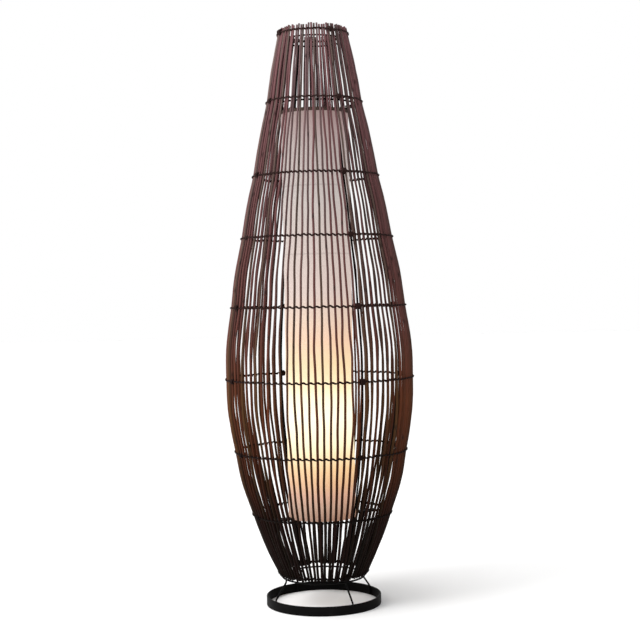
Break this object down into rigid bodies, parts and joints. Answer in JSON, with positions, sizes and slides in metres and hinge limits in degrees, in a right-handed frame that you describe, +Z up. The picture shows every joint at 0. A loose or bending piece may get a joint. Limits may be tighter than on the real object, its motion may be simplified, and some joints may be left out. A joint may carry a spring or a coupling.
{
  "type": "rattan floor lamp",
  "caption": "Tall torpedo-shaped floor lamp: dark stakes bound by twined hoops around a lit cream fabric tube, on a black steel hoop base.",
  "frame": {"origin": "centre of the footprint, on the floor", "axes": "+Z up along the lamp, -Y towards the front, +X to the right seen from the front"},
  "size_m": [0.329, 0.329, 1],
  "materials": {
    "stakes": "satin dark brown stain over peeled willow or rattan stakes",
    "weavers": "satin near-black brown stain",
    "black_steel": "satin black powder coat",
    "shade_fabric": "matt cream woven cloth",
    "white_wire": "satin white coat",
    "zinc_steel": "zinc plated",
    "black_plastic": "satin",
    "white_ceramic": "glazed",
    "brass": "plain",
    "bulb_cap": "rolled",
    "dark_glass": "gloss",
    "white_plastic": "satin",
    "bulb_dome": "opal diffuser, lit in the visual model"
  },
  "bodies": {
    "lamp": {"base_hoop": "black_steel", "leg_1": "black_steel", "leg_2": "black_steel", "leg_3": "black_steel", "leg_4": "black_steel", "upright_1": "black_steel", "upright_2": "black_steel", "upright_3": "black_steel", "upright_4": "black_steel", "frame_ring_bottom": "black_steel", "frame_ring_upper": "black_steel", "frame_ring_top": "black_steel", "crossbar": "black_steel", "stakes_01": "stakes", "stakes_02": "stakes", "stakes_03": "stakes", "stakes_04": "stakes", "stakes_05": "stakes", "stakes_06": "stakes", "stakes_07": "stakes", "stakes_08": "stakes", "stakes_09": "stakes", "stakes_10": "stakes", "stakes_11": "stakes", "stakes_12": "stakes", "stakes_13": "stakes", "stakes_14": "stakes", "hoop_1": "weavers", "hoop_2": "weavers", "hoop_3": "weavers", "hoop_4": "weavers", "hoop_5": "weavers", "hoop_6": "weavers", "hoop_7": "weavers", "hoop_8": "weavers", "hoop_9": "weavers", "shade_fabric": "shade_fabric", "shade_wire_top": "white_wire", "shade_wire_bottom": "white_wire", "shade_stays": "white_wire", "shade_fitter": "white_wire", "threaded_tube": "zinc_steel", "nut_lower": "zinc_steel", "nut_upper": "zinc_steel", "holder_cap": "black_plastic", "holder_shell": "black_plastic", "holder_base": "white_ceramic", "screw_shell": "brass", "terminal_screws": "zinc_steel", "centre_contact": "brass"},
    "bulb_foot": {"bulb_contact": "brass", "bulb_insulator": "dark_glass"},
    "bulb": {"bulb_cap": "bulb_cap", "bulb_body": "white_plastic", "bulb_dome": "bulb_dome"},
    "clamp_ring": {"shade_ring": "black_plastic"}
  },
  "joints": [
    {"name": "bulb_rise", "type": "slide", "parent": "lamp", "child": "bulb_foot", "axis": [0, 0, 1], "range_m": [0, 0.01815]},
    {"name": "bulb_turn", "type": "hinge", "parent": "bulb_foot", "child": "bulb", "pos_m": [0, 0, 0.245], "axis": [0, 0, 1], "range_deg": [0, 1800]},
    {"name": "clamp_ring_turn", "type": "hinge", "parent": "lamp", "child": "clamp_ring", "pos_m": [0, 0, 0.25], "axis": [0, 0, 1], "range_deg": [0, 720]}
  ],
  "couplings": [
    {"joint": "bulb_rise", "follows": "bulb_turn", "m_per_rad": 0.00057757}
  ]
}
